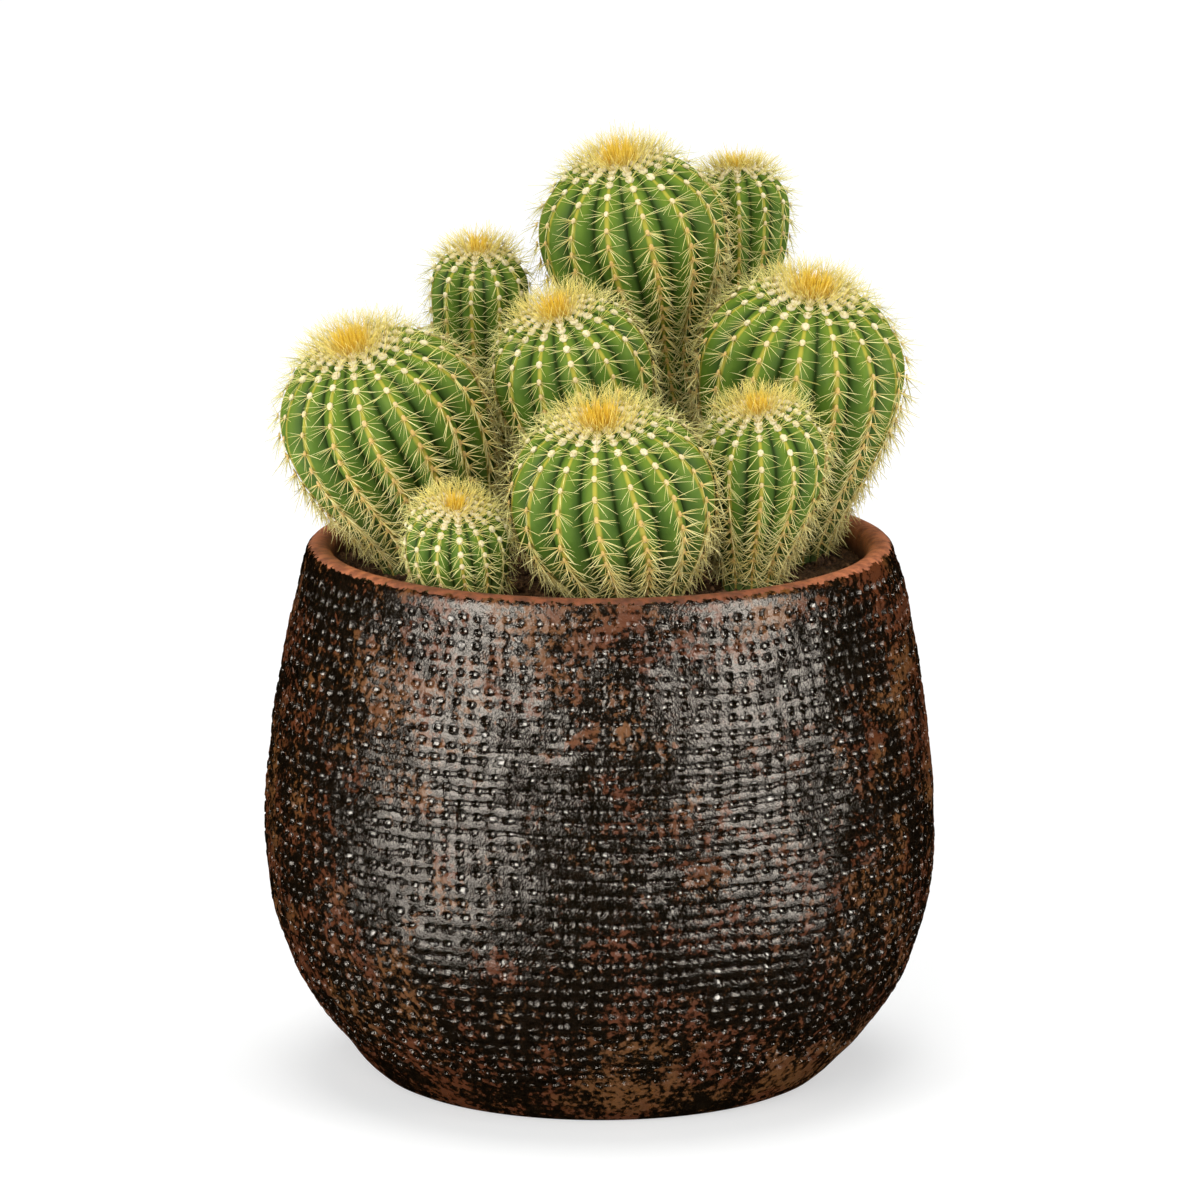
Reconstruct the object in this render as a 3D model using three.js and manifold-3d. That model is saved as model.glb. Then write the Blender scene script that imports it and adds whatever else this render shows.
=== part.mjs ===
// A clump of nine ribbed cactus heads in a round clay pot with soil.
// Millimetres, +Z up. The origin is the middle of the flat base of the pot, on the ground.
import * as THREE from 'three';
import { mergeVertices } from 'three/addons/utils/BufferGeometryUtils.js';
import Module from 'manifold-3d';

const wasm = await Module();
wasm.setup();

// Clearance kept between two pieces that touch on the real object.
const GAP = 0.3;
const WALL_GAP = 0.4;

// Pot: outer and inner side as [radius, height].
const POT_SIDES = 42;
const POT_OUTSIDE = [
  [103.5, 0], [107.5, 2], [115.5, 9], [126.5, 22], [139.5, 39], [150.5, 59], [159, 87],
  [161.8, 118], [160, 150], [154.5, 192], [144.8, 244],
];
const POT_INSIDE = [[129.5, 240], [143, 170], [147.5, 118], [142, 76], [126, 42], [99, 14]];
const POT_FLOOR = 14;
const RIM_HEIGHT = 261;
const RIM_RADIUS = 142;
const RIM_WALL = 13.5;
const LIP_ROUNDING = 6;
const LIP_STEPS = 3;

// Soil: its level below the rim, its crumbly relief, and the holes that the stems stand in.
const SOIL_DROP = 13;
const SOIL_LEVEL = RIM_HEIGHT - SOIL_DROP;
const SOIL_RELIEF = 2.5;
const SOIL_RINGS = [108, 84, 58, 30];
const FLAT_ROUND_STEM = 34;
const UNEVEN_FROM_STEM = 48;
const STEM_DEPTH = 26;
const STEM_SLACK = 0.2;
const HOLE_SIDES = 16;
const CUT_ABOVE = 10;

// Growth lines: how far a head runs on from its foot, and from its crown, before it bends.
const FOOT_REACH = 0.35;
const CROWN_REACH = 0.4;

// Bodies: two facets a rib. The cap is the stretch from the crown to the widest part, a share of
// the radius; the rows of corners are shares of the cap and of the taper below it.
const RIB_DEPTH = 0.17;
const STEM_RIB_SHARE = 0.25;
const GROOVES_START = 0.25;
const GROOVES_FULL = 0.8;
const CAP_SHARE = 0.85;
const CAP_FLATNESS = 2.3;
const CAP_ROWS = [0.06, 0.26, 0.58, 1];
const TAPER_CURVE = 1.7;
const TAPER_ROWS = [0.36, 0.68, 1];
const BODY_ABOVE_SOIL = 1;

// The hollow in a crown: its radius as a share of the head's, and how deep it lies.
const CROWN_SHARE = 0.2;
const CROWN_DROP = 3;
const CROWN_SLOPE = 1;

// Spines: three-sided needles, sunk into the crest of the rib they grow from.
const SPINE_SIDES = 3;
const SPINE_ROOT_RADIUS = 0.55;
const SPINE_SUNK = 2.5;
const SPINE_SPACING = 27;
const FIRST_SPINE = 5;
const LAST_SPINE = 7;
const STEM_FROM = 0.8;
const BODY_CLEAR = 1.5;
const SPINE_CLEAR = 1.8;
const RIM_CLEAR = 2;
// The ways a spine leaves its areole, as parts outwards, towards the crown and sideways.
const SPINE_WAYS = [[0.75, 0.25, 0.6], [0.95, 0.35, 0], [0.75, -0.2, -0.6], [0.9, -0.45, 0.1]];

// Crown tufts: a low felt pad as [share of its radius, height], with two rings of needles on it.
const PAD_CLEAR = 1;
const PAD_SIDES = 10;
const PAD_TOP = [[1, 0.5], [0.6, 2.5], [0, 3.5]];
const TUFT_SPINES = 8;
const TUFT_RINGS = [0.36, 0.66];
const TUFT_ROOT = 1.8;
const TUFT_LEAN = 0.42;

// The nine heads. foot: where the stem leaves the soil; crown: its middle; faces: the sideways
// part of the direction that the crown faces; radius: half of the widest width; taper: length
// of the narrowing below it.
const HEADS = [
  {
    name: 'left', foot: [-82, -5], crown: [-118, -21, 361], faces: [-0.24, -0.3],
    radius: 50, taper: 95, stem: 19, ribs: 16, spine: 14,
  },
  {
    name: 'back_left', foot: [-54, 62], crown: [-59, 60, 393], faces: [0, -0.22],
    radius: 24.5, taper: 105, stem: 16, ribs: 11, spine: 12,
  },
  {
    name: 'middle', foot: [-4, 4], crown: [-21, -14, 376], faces: [-0.25, -0.3],
    radius: 39, taper: 68, stem: 18, ribs: 13, spine: 13.5,
  },
  {
    name: 'top', foot: [38, 58], crown: [9, 57, 438], faces: [-0.14, -0.22],
    radius: 46, taper: 66, stem: 20, ribs: 14, spine: 14,
  },
  {
    name: 'back_right', foot: [61, 93], crown: [67, 117, 424], faces: [-0.06, 0.06],
    radius: 25.5, taper: 64, stem: 14, ribs: 12, spine: 12,
  },
  {
    name: 'right', foot: [92, 24], crown: [102, 6, 383], faces: [0.14, -0.26],
    radius: 51, taper: 97, stem: 18, ribs: 15, spine: 14,
  },
  {
    name: 'front', foot: [12, -72], crown: [0, -92, 338], faces: [-0.07, -0.29],
    radius: 49.5, taper: 68, stem: 20, ribs: 15, spine: 14,
  },
  {
    name: 'front_right', foot: [72, -48], crown: [74.5, -63, 338], faces: [-0.14, -0.28],
    radius: 31, taper: 62, stem: 15, ribs: 12, spine: 13,
  },
  {
    name: 'front_left', foot: [-65, -80], crown: [-68, -93, 297], faces: [0.08, -0.4],
    radius: 25, taper: 48, stem: 14, ribs: 13, spine: 11,
  },
];

const LOOKS = {
  pot: { color: 0x4a2f26, roughness: 0.45 },
  soil: { color: 0x3b2a20, roughness: 0.95 },
  head: { color: 0x5c9636, roughness: 0.55 },
  crown: { color: 0xdca52e, roughness: 0.75 },
};

// A small seeded generator, so that every build draws the same numbers.
let seed = 20260;
function draw(low, high) {
  seed = (seed * 1664525 + 1013904223) % 4294967296;
  return low + (high - low) * (seed / 4294967296);
}

function merged(geometry) {
  const bare = geometry.clone();
  bare.deleteAttribute('normal');
  bare.deleteAttribute('uv');
  return mergeVertices(bare);
}

function toSolid(geometry) {
  const closed = merged(geometry);
  return new wasm.Manifold(new wasm.Mesh({
    numProp: 3,
    vertProperties: Float32Array.from(closed.attributes.position.array),
    triVerts: Uint32Array.from(closed.index.array),
  }));
}

function toGeometry(solid) {
  const mesh = solid.getMesh();
  const geometry = new THREE.BufferGeometry();
  geometry.setAttribute('position', new THREE.BufferAttribute(mesh.vertProperties, 3));
  geometry.setIndex(new THREE.BufferAttribute(mesh.triVerts, 1));
  return geometry;
}

// A shape turned about +Z from [radius, height] points, bottom first.
function turned(points, sides) {
  const profile = points.map(([radius, height]) => new THREE.Vector2(radius, height));
  return new THREE.LatheGeometry(profile, sides, Math.PI / 2).rotateX(Math.PI / 2);
}

function lipPoints() {
  const outer = RIM_RADIUS - LIP_ROUNDING;
  const inner = RIM_RADIUS - RIM_WALL + LIP_ROUNDING;
  const low = RIM_HEIGHT - LIP_ROUNDING;
  const points = [];
  for (let step = 0; step <= LIP_STEPS; step += 1) {
    const angle = (step / LIP_STEPS) * (Math.PI / 2);
    points.push([outer + LIP_ROUNDING * Math.cos(angle), low + LIP_ROUNDING * Math.sin(angle)]);
  }
  for (let step = 0; step <= LIP_STEPS; step += 1) {
    const angle = (1 - step / LIP_STEPS) * (Math.PI / 2);
    points.push([inner - LIP_ROUNDING * Math.cos(angle), low + LIP_ROUNDING * Math.sin(angle)]);
  }
  return points;
}

function potGeometry() {
  return turned([[0, 0], ...POT_OUTSIDE, ...lipPoints(), ...POT_INSIDE, [0, POT_FLOOR]], POT_SIDES);
}

// How far a point on the soil lies from the nearest stem.
function fromStems(x, y) {
  return Math.min(...HEADS.map(({ foot }) => Math.hypot(x - foot[0], y - foot[1])));
}

// The soil fills the pot. Its top is uneven away from the stems.
function soilGeometry() {
  const side = POT_INSIDE.map(([radius, height]) => [radius - WALL_GAP, height]).reverse();
  side[0][1] = POT_FLOOR + GAP;
  const edge = RIM_RADIUS - RIM_WALL - WALL_GAP;
  const top = SOIL_RINGS.map((radius) => [radius, SOIL_LEVEL]);
  const points = [[0, POT_FLOOR + GAP], ...side, [edge, SOIL_LEVEL - 1], ...top, [0, SOIL_LEVEL]];
  const geometry = merged(turned(points, POT_SIDES));
  const place = geometry.attributes.position;
  for (let index = 0; index < place.count; index += 1) {
    const [x, y, z] = [place.getX(index), place.getY(index), place.getZ(index)];
    if (Math.abs(z - SOIL_LEVEL) < 0.01) {
      const free = THREE.MathUtils.smoothstep(fromStems(x, y), FLAT_ROUND_STEM, UNEVEN_FROM_STEM);
      place.setZ(index, z + free * draw(-SOIL_RELIEF, SOIL_RELIEF));
    }
  }
  return geometry;
}

// The round stem in the soil, a little narrower than the grooves above it.
function plainStem({ stem }) {
  return stem * (1 - RIB_DEPTH * STEM_RIB_SHARE) - STEM_SLACK;
}

function stemHole(head) {
  const radius = (plainStem(head) + GAP) / Math.cos(Math.PI / HOLE_SIDES);
  const bottom = SOIL_LEVEL - STEM_DEPTH - GAP;
  const top = SOIL_LEVEL + CUT_ABOVE;
  const hole = new THREE.CylinderGeometry(radius, radius, top - bottom, HOLE_SIDES);
  return hole.rotateX(Math.PI / 2).translate(...head.foot, (top + bottom) / 2);
}

function soilSolid() {
  const full = toSolid(soilGeometry());
  return HEADS.reduce((soil, head) => soil.subtract(toSolid(stemHole(head))), full);
}

// The line that a head grew along, straight up out of the soil and then towards its crown.
function growthLine(head) {
  const foot = new THREE.Vector3(head.foot[0], head.foot[1], SOIL_LEVEL);
  const crown = new THREE.Vector3(...head.crown);
  const [sideways, back] = head.faces;
  const facing = new THREE.Vector3(sideways, back, Math.sqrt(1 - sideways ** 2 - back ** 2));
  const reach = crown.distanceTo(foot);
  const rise = foot.clone().add(new THREE.Vector3(0, 0, reach * FOOT_REACH));
  const arrive = crown.clone().addScaledVector(facing, -reach * CROWN_REACH);
  return new THREE.CubicBezierCurve3(foot, rise, arrive, crown);
}

// The middle of the head at a distance below its crown, and the three directions there.
function station(head, below) {
  const { line, length } = head;
  const share = THREE.MathUtils.clamp(1 - below / length, 0, 1);
  const middle = line.getPointAt(share);
  const up = line.getTangentAt(share);
  middle.addScaledVector(up, Math.min(0, length - below));
  const across = new THREE.Vector3(1, 0, 0).addScaledVector(up, -up.x).normalize();
  return { middle, up, across, away: new THREE.Vector3().crossVectors(up, across) };
}

// The radius of the crests of the ribs: a flattened cap, then a taper down to the stem.
function bodyRadius({ radius, taper, stem }, below) {
  const cap = CAP_SHARE * radius;
  if (below < cap) {
    return radius * Math.sqrt(1 - (1 - below / cap) ** CAP_FLATNESS);
  }
  const along = Math.min(1, (below - cap) / taper);
  return stem + (radius - stem) * (1 - along ** 2) ** TAPER_CURVE;
}

// How deep the grooves are, as a share of the radius: none at the crown, little on the stem.
function grooveShare(head, radius, below) {
  if (below < CAP_SHARE * head.radius) {
    const share = radius / head.radius;
    return RIB_DEPTH * THREE.MathUtils.smoothstep(share, GROOVES_START, GROOVES_FULL);
  }
  const fullness = (radius - head.stem) / (head.radius - head.stem);
  return RIB_DEPTH * THREE.MathUtils.clamp(fullness * 3, STEM_RIB_SHARE, 1);
}

// A point on the skin; turn runs from 0 to 1 around the head, and whole ribs are crests.
function skinPoint(head, below, turn, radius) {
  const { middle, across, away } = station(head, below);
  const angle = turn * Math.PI * 2;
  return middle.addScaledVector(across, radius * Math.cos(angle))
    .addScaledVector(away, radius * Math.sin(angle));
}

function ribbedRows(head) {
  const cap = CAP_SHARE * head.radius;
  const bottom = head.length - BODY_ABOVE_SOIL;
  const tapered = Math.min(head.taper, bottom - cap);
  const rows = CAP_ROWS.map((share) => share * cap);
  rows.push(...TAPER_ROWS.map((share) => cap + share * tapered));
  return bottom > cap + tapered + 1 ? [...rows, bottom] : rows;
}

// The body as a turned shape about the straight line, bent along its growth afterwards.
function bodyGeometry(head) {
  const crown = CROWN_SHARE * head.radius;
  const bottom = head.rows[head.rows.length - 1];
  const plain = plainStem(head);
  const deep = head.length + STEM_DEPTH;
  const skin = head.rows.map((below) => [bodyRadius(head, below), -below]).reverse();
  const points = [
    [0, -deep], [plain, -deep], [plain, -bottom], ...skin,
    [crown + CROWN_SLOPE, 0], [crown, -CROWN_DROP], [0, -CROWN_DROP],
  ];
  const geometry = merged(turned(points, head.ribs * 2));
  const place = geometry.attributes.position;
  for (let index = 0; index < place.count; index += 1) {
    const [x, y, below] = [place.getX(index), place.getY(index), -place.getZ(index)];
    const turn = Math.atan2(y, x) / (Math.PI * 2);
    const across = Math.hypot(x, y);
    const inGroove = Math.abs(Math.round(turn * head.ribs * 2)) % 2 === 1;
    const onRibs = across > Math.max(plain, crown + CROWN_SLOPE) + 0.01;
    const cut = inGroove && onRibs ? grooveShare(head, across, below) : 0;
    const point = skinPoint(head, below, turn, across * (1 - cut));
    place.setXYZ(index, point.x, point.y, point.z);
  }
  return geometry;
}

function needleGeometry(root, direction, length) {
  const needle = new THREE.ConeGeometry(SPINE_ROOT_RADIUS, length + SPINE_SUNK, SPINE_SIDES);
  needle.translate(0, (length - SPINE_SUNK) / 2, 0);
  const upright = new THREE.Vector3(0, 1, 0);
  needle.applyQuaternion(new THREE.Quaternion().setFromUnitVectors(upright, direction));
  return needle.translate(root.x, root.y, root.z);
}

// Points along a straight needle, from near its root to its tip.
function pointsAlong(needle, shares) {
  return shares.map((share) => needle.at(share, new THREE.Vector3()));
}

function needleDistance(one, other) {
  return Math.min(...pointsAlong(one, [0, 0.17, 0.33, 0.5, 0.67, 0.83, 1]).map(
    (point) => other.closestPointToPoint(point, true, new THREE.Vector3()).distanceTo(point),
  ));
}

function clearOfPot(point) {
  const across = Math.hypot(point.x, point.y);
  const overWall = across > RIM_RADIUS - RIM_WALL - RIM_CLEAR;
  return point.z > (overWall ? RIM_HEIGHT : SOIL_LEVEL + SOIL_RELIEF) + RIM_CLEAR;
}

function clearOfBodies(point, owner) {
  return HEADS.every((head) => head === owner || head.spheres.every(
    ({ middle, radius }) => middle.distanceTo(point) > radius + BODY_CLEAR,
  ));
}

// All needles placed so far, with the piece each belongs to.
const grown = [];

function clearOfNeedles(needle, piece) {
  return grown.every((other) => other.piece === piece
    || needleDistance(needle, other.line) > SPINE_CLEAR);
}

function isClear(needle, owner, piece) {
  return pointsAlong(needle, [0.1, 0.25, 0.5, 0.75, 1]).every(
    (point) => clearOfPot(point) && clearOfBodies(point, owner),
  ) && clearOfNeedles(needle, piece);
}

// A point on the crest of a rib, between the two rows of corners that it lies between.
function onCrest(head, rib, below) {
  const rows = head.rows;
  const next = rows.findIndex((row) => row > below);
  const turn = rib / head.ribs;
  const [high, low] = [rows[next - 1], rows[next]];
  const upper = skinPoint(head, high, turn, bodyRadius(head, high));
  const lower = skinPoint(head, low, turn, bodyRadius(head, low));
  const root = upper.clone().lerp(lower, (below - high) / (low - high));
  return { root, towards: upper.sub(lower).normalize() };
}

function spineDirection(head, { root, towards }, below, way) {
  const outwards = root.clone().sub(station(head, below).middle);
  const sideways = new THREE.Vector3().crossVectors(towards, outwards).normalize();
  const normal = new THREE.Vector3().crossVectors(sideways, towards);
  return normal.multiplyScalar(way[0]).addScaledVector(towards, way[1])
    .addScaledVector(sideways, way[2]).normalize();
}

// A needle in the first of the directions in which it is clear of everything else.
function growSpine(head, piece, root, length, directions) {
  for (const direction of directions) {
    const line = new THREE.Line3(root, root.clone().addScaledVector(direction, length));
    if (isClear(line, head, piece)) {
      grown.push({ piece, line });
      return [toSolid(needleGeometry(root, direction, length))];
    }
  }
  return [];
}

// Rows of spines along every rib, staggered from rib to rib, with every other rib bare on the stem.
function areolePlaces(head) {
  const places = [];
  const narrow = CAP_SHARE * head.radius + STEM_FROM * head.taper;
  for (let rib = 0; rib < head.ribs; rib += 1) {
    const start = FIRST_SPINE + (rib % 2) * SPINE_SPACING * 0.5;
    for (let below = start; below < head.length - LAST_SPINE; below += SPINE_SPACING) {
      if (below < narrow || rib % 2 === 0) {
        places.push({ rib, below: below + draw(-2, 2) });
      }
    }
  }
  return places;
}

function headSolid(head) {
  const piece = `head_${head.name}`;
  const spines = areolePlaces(head).flatMap(({ rib, below }, count) => {
    const crest = onCrest(head, rib, below);
    const ways = SPINE_WAYS.map((way, step) => SPINE_WAYS[(count + step) % SPINE_WAYS.length]);
    const directions = ways.map((way) => spineDirection(head, crest, below, way));
    return growSpine(head, piece, crest.root, head.spine * draw(0.85, 1.15), directions);
  });
  return spines.reduce((body, spine) => body.add(spine), toSolid(bodyGeometry(head)));
}

function padSolid(head, edge) {
  const floor = GAP - CROWN_DROP;
  const top = PAD_TOP.map(([share, height]) => [share * edge, height]);
  const pad = turned([[0, floor], [edge, floor], ...top], PAD_SIDES);
  const { middle, up, across, away } = station(head, 0);
  pad.applyMatrix4(new THREE.Matrix4().makeBasis(across, away, up));
  return toSolid(pad.translate(middle.x, middle.y, middle.z));
}

// The golden tuft: a felt pad in the hollow of the crown and erect needles on it.
function crownSolid(head) {
  const edge = CROWN_SHARE * head.radius - PAD_CLEAR;
  const { middle, up, across, away } = station(head, 0);
  const spines = [];
  for (let count = 0; count < TUFT_SPINES; count += 1) {
    const angle = (count / TUFT_SPINES) * Math.PI * 2 + draw(-0.2, 0.2);
    const outwards = across.clone().multiplyScalar(Math.cos(angle))
      .addScaledVector(away, Math.sin(angle));
    const root = middle.clone().addScaledVector(up, TUFT_ROOT)
      .addScaledVector(outwards, edge * TUFT_RINGS[count % 2]);
    const direction = up.clone().addScaledVector(outwards, TUFT_LEAN * draw(0.5, 1)).normalize();
    const length = head.spine * draw(0.95, 1.2);
    spines.push(...growSpine(head, `crown_${head.name}`, root, length, [direction]));
  }
  return spines.reduce((tuft, spine) => tuft.add(spine), padSolid(head, edge));
}

function addPiece(group, name, geometry, look) {
  const mesh = new THREE.Mesh(geometry, new THREE.MeshStandardMaterial({ ...look, metalness: 0 }));
  mesh.name = name;
  group.add(mesh);
}

function measureHead(head) {
  head.line = growthLine(head);
  head.length = head.line.getLength();
  head.rows = ribbedRows(head);
  head.spheres = [];
  for (let below = CROWN_DROP; below < head.length; below += 3) {
    head.spheres.push({ middle: station(head, below).middle, radius: bodyRadius(head, below) });
  }
}

function buildPlant() {
  const group = new THREE.Group();
  HEADS.forEach(measureHead);
  addPiece(group, 'pot', merged(potGeometry()), LOOKS.pot);
  addPiece(group, 'soil', toGeometry(soilSolid()), LOOKS.soil);
  for (const head of HEADS) {
    addPiece(group, `crown_${head.name}`, toGeometry(crownSolid(head)), LOOKS.crown);
  }
  for (const head of HEADS) {
    addPiece(group, `head_${head.name}`, toGeometry(headSolid(head)), LOOKS.head);
  }
  return group;
}

export default buildPlant();
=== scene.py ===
# %% [markdown]
# # A potted ball cactus with nine heads
#
# One plant of a ribbed, golden-spined ball cactus has grown nine heads, and stands in a round
# pot of fired clay with a stamped, partly glazed belly. Its solids come packed, at their true
# places and sizes. This lesson gives each of them the surface that a grower would know: waxy
# ribs, woolly areoles, thin spines, pressed pits under a broken glaze, and crumbly soil.

import math
from types import SimpleNamespace

import bmesh
import bpy
import numpy as np
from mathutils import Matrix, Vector


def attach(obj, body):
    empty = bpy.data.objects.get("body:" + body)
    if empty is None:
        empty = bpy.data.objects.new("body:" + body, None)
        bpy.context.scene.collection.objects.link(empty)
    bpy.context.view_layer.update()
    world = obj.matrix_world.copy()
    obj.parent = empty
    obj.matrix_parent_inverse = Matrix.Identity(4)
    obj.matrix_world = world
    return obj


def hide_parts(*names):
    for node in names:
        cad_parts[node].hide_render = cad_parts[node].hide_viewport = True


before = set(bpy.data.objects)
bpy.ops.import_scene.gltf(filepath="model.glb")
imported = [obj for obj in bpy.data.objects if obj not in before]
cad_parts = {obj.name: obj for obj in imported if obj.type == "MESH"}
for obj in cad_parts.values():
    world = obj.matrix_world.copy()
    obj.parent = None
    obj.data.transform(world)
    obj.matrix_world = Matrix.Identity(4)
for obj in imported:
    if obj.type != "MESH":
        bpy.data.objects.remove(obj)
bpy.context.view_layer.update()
chance = np.random.default_rng(20260)

# %% [markdown]
# ## The camera
#
# The plant was photographed from some way off, a little from above: the rim of the pot is a flat
# oval, and the far heads look as large as the near ones. The view could be fitted by eye, but
# two numbers that are measured on the rim are surer: 4.5 m away, and 12 degrees up.

# %% Camera
VIEW_DISTANCE = 4.5
VIEW_ELEVATION = math.radians(12)
LOOK_AT = Vector((0, 0, 0.2316))


def turn_towards(thing, target):
    """Turns a camera or a light, which both face along their own -Z, towards a point."""
    thing.rotation_euler = (target - thing.location).to_track_quat("-Z", "Y").to_euler()


bpy.ops.object.camera_add()
camera = bpy.context.object
camera.name = "studio_camera"
camera.location = LOOK_AT + VIEW_DISTANCE * Vector(
    (0, -math.cos(VIEW_ELEVATION), math.sin(VIEW_ELEVATION)))
camera.data.lens = 280
camera.data.sensor_width = 36
camera.data.clip_end = 60
turn_towards(camera, LOOK_AT)
bpy.context.scene.camera = camera
print("the camera stands at", [round(n, 3) for n in camera.location])

# %% [markdown]
# ## Studio light
#
# The glaze shows two tall soft highlights, so a tall soft box stands at each side, with a low
# panel before it to carry the highlight on below the belly. Small bare lamps, high up, make the
# pits sparkle. One large dome would be simpler, but would lie as haze on the black glaze, so the
# wide panels, the room and the floor are hidden from reflections.

# %% Lamps and panels
LAMPS = [
    # name, turn from the camera to the left, distance, height, aimed at, width, tall, watts
    ("left_box", 48, 2.3, 0.8, (0, 0.3), 1.2, 1.5, 28),
    ("right_box", -55, 2.3, 0.8, (0, 0.3), 0.85, 1.5, 24.5),
    ("left_low_panel", 50, 0.6, 0.01, (0.6, 1), 0.42, 0.42, 1.3),
    ("right_low_panel", -55, 0.6, 0.01, (0.6, 1), 0.34, 0.34, 0.8),
    ("left_sparkle", 42, 1.7, 2.6, (0, 0.15), 0.1, 0.1, 2),
    ("middle_sparkle", -6, 1.7, 2.4, (0, 0.15), 0.1, 0.1, 2),
    ("right_sparkle", -50, 1.7, 2.6, (0, 0.15), 0.1, 0.1, 2),
]
WIDE_PANELS = [
    # name, place, strength, angle that it fills
    ("overhead_panel", (0, 0.2, 3), 2.3, 40),
    ("front_panel", (-0.6, -3, 1.9), 1.25, 26),
]
WARM_WHITE = (1.0, 0.94, 0.85)
ROOM_STRENGTH = 0.24


def turned(degrees, distance, height):
    """A place round the pot, a number of degrees to the left of the camera."""
    angle = math.radians(degrees)
    return Vector((-math.sin(angle) * distance, -math.cos(angle) * distance, height))


def add_light(kind, name, place, target, power):
    bpy.ops.object.light_add(type=kind, location=place)
    light = bpy.context.object
    light.name = name
    light.data.color = WARM_WHITE
    light.data.energy = power
    turn_towards(light, target)
    return light


for name, turn, distance, height, aim, width, tall, watts in LAMPS:
    lamp = add_light("AREA", name, turned(turn, distance, height), turned(turn, *aim), watts)
    lamp.data.shape = "DISK" if width == tall else "RECTANGLE"
    lamp.data.size, lamp.data.size_y = width, tall
for name, place, strength, angle in WIDE_PANELS:
    panel = add_light("SUN", name, Vector(place), Vector((0, 0, 0.3)), strength)
    panel.data.angle = math.radians(angle)
    panel.visible_glossy = False

# %% Room
room = bpy.data.worlds.new("pale_room")
bpy.context.scene.world = room
room.use_nodes = True
room.node_tree.nodes["Background"].inputs["Color"].default_value = (1, 1, 1, 1)
room.node_tree.nodes["Background"].inputs["Strength"].default_value = ROOM_STRENGTH
room.cycles_visibility.glossy = False
bpy.context.scene.view_settings.view_transform = "Standard"
print("the room gives", ROOM_STRENGTH)

# %% [markdown]
# ## Small habits of the hand
#
# Some things are done again and again: letting go of everything before a new shape is begun,
# picking corners by their place, reading or writing all corners at once. They are helpers.

# %% Helpers for modelling
MM = 0.001


def let_go():
    """Back to object mode, with nothing selected."""
    if bpy.context.object and bpy.context.object.mode != "OBJECT":
        bpy.ops.object.mode_set(mode="OBJECT")
    bpy.ops.object.select_all(action="DESELECT")


def hold(*pieces):
    """Selects these pieces and no others; the first is the active one."""
    let_go()
    for piece in pieces:
        piece.select_set(True)
    bpy.context.view_layer.objects.active = pieces[0]


def edit(piece):
    """Edit mode, with all corners of one piece selected."""
    hold(piece)
    bpy.ops.object.mode_set(mode="EDIT")
    bpy.ops.mesh.select_mode(type="VERT")
    bpy.ops.mesh.select_all(action="SELECT")


def opened():
    """The shape that was just added, its place written into its corners, in edit mode."""
    bpy.ops.object.transform_apply(location=True, rotation=True, scale=True)
    added = bpy.context.object
    edit(added)
    return added


def pick(piece, wanted):
    """In edit mode, selects the corners for whose place wanted is true."""
    mesh = bmesh.from_edit_mesh(piece.data)
    for corner in mesh.verts:
        corner.select = bool(wanted(corner.co))
    mesh.select_flush_mode()
    bmesh.update_edit_mesh(piece.data)


def read(items, key, kind, each=1):
    """The values that all corners, edges, faces or loops have under one key, in an array."""
    values = np.zeros(len(items) * each, kind)
    items.foreach_get(key, values)
    return values.reshape(-1, each) if each > 1 else values


def points_of(piece):
    return read(piece.data.vertices, "co", float, 3)


def move_points(piece, points):
    piece.data.vertices.foreach_set("co", np.ascontiguousarray(points).ravel())
    piece.data.update()


def note(piece, name, values):
    """Keeps a number per corner on the piece, for its material to read."""
    layer = piece.data.attributes.new(name, "FLOAT", "POINT")
    layer.data.foreach_set("value", np.asarray(values, np.float32))


def smoothstep(values, low, high):
    share = np.clip((np.asarray(values, float) - low) / (high - low), 0, 1)
    return share * share * (3 - 2 * share)


def unit(ways):
    return ways / np.linalg.norm(ways, axis=-1, keepdims=True)


def run_along(line):
    """The distance run along a line, at each of its points."""
    hops = np.linalg.norm(np.diff(line, axis=0), axis=1)
    return np.concatenate(((0,), np.cumsum(hops)))


def start_disc(corners, radius, height):
    """A flat disc, in edit mode with all of it selected."""
    let_go()
    bpy.ops.mesh.primitive_circle_add(vertices=corners, radius=radius, fill_type="NGON",
                                      location=(0, 0, height))
    return opened()


def extrude(up, sideways=0):
    bpy.ops.mesh.extrude_region_move(TRANSFORM_OT_translate={"value": (sideways, 0, up)})


def narrow(share):
    """Draws the picked corners towards the upright axis, or away from it."""
    bpy.ops.transform.resize(value=(share, share, 1), center_override=(0, 0, 0))


def shift(*way):
    bpy.ops.transform.translate(value=way)


def subdivide_once(piece):
    hold(piece)
    rounding = piece.modifiers.new("rounding", "SUBSURF")
    rounding.levels = rounding.render_levels = 1
    bpy.ops.object.modifier_apply(modifier=rounding.name)


def shade(piece, degrees):
    """Smooth shading, with edges sharper than that many degrees left crisp."""
    hold(piece)
    bpy.ops.object.shade_smooth_by_angle(angle=math.radians(degrees))


print("helpers ready")

# %% [markdown]
# ## What is known of each head
#
# The sizes are those of the solids, in millimetres: where the stem leaves the soil, where the
# crown is and which way it faces, how wide the body is, over what length it narrows, how thick
# the stem is, the number of ribs and the length of the spines. Every piece of a head is placed
# by them, so that ribs, areoles and spines meet.

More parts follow.
